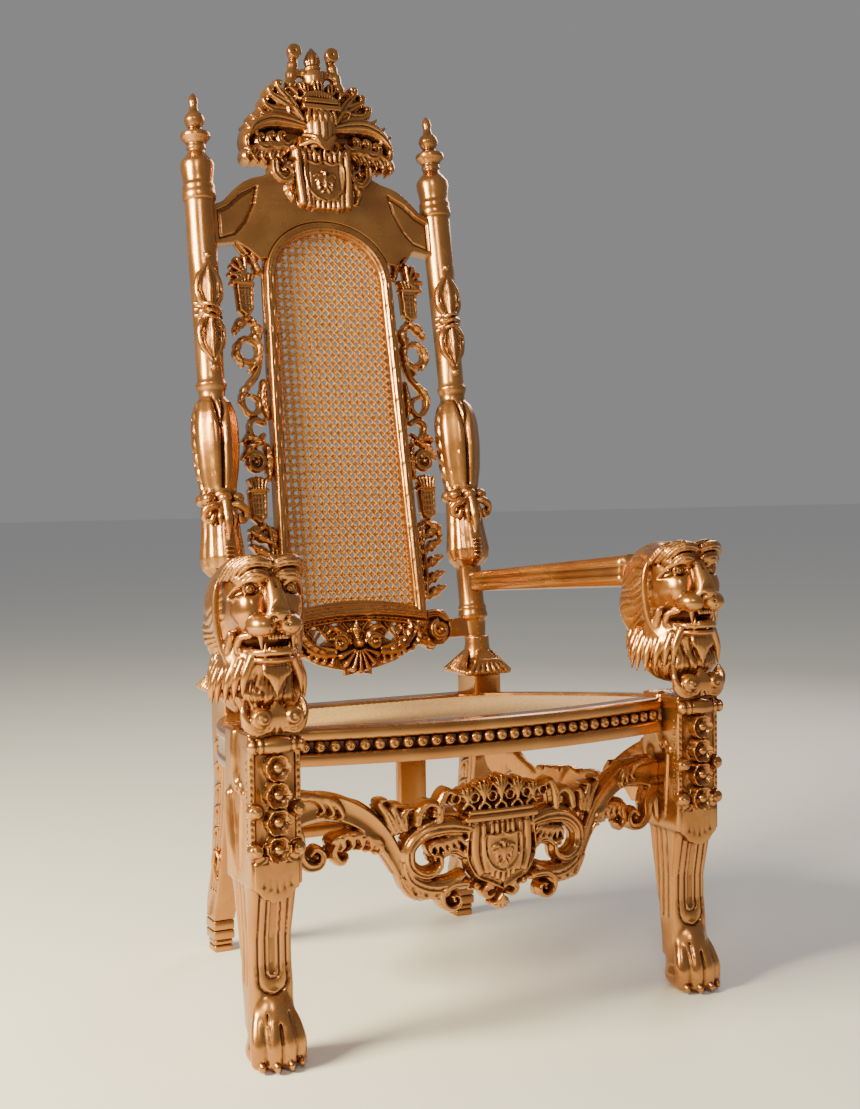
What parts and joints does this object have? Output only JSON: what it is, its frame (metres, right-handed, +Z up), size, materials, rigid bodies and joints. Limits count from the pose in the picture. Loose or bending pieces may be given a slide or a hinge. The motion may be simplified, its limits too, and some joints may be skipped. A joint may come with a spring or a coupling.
{
  "type": "throne",
  "caption": "Tall carved armchair with lion-headed front legs, turned raked back posts, a crowned crest, pierced side strips, and a caned seat and back.",
  "frame": {"origin": "on the floor, under the middle of the box around the whole throne", "axes": "+Z up, -Y is the way a sitter faces, +X is the throne's side that a viewer in front sees on the right"},
  "size_m": [0.969, 0.8284, 1.8288],
  "materials": {
    "gilded_wood": "glossy gold-bronze lacquer, darker in the hollows",
    "cane": "varnished woven cane"
  },
  "bodies": {
    "root": {"front_leg_left": "gilded_wood", "front_leg_right": "gilded_wood", "back_post_left": "gilded_wood", "back_post_right": "gilded_wood", "arm_left": "gilded_wood", "arm_right": "gilded_wood", "crest_rail": "gilded_wood", "back_frame": "gilded_wood", "back_fret_left": "gilded_wood", "back_fret_right": "gilded_wood", "back_lower_rail": "gilded_wood", "seat_rail_front": "gilded_wood", "seat_rail_left": "gilded_wood", "seat_rail_right": "gilded_wood", "seat_rail_back": "gilded_wood", "stretcher_front": "gilded_wood", "stretcher_left": "gilded_wood", "stretcher_right": "gilded_wood", "stretcher_cross": "gilded_wood", "seat_strut": "gilded_wood", "back_cane": "cane", "seat_cane": "cane"}
  },
  "joints": []
}
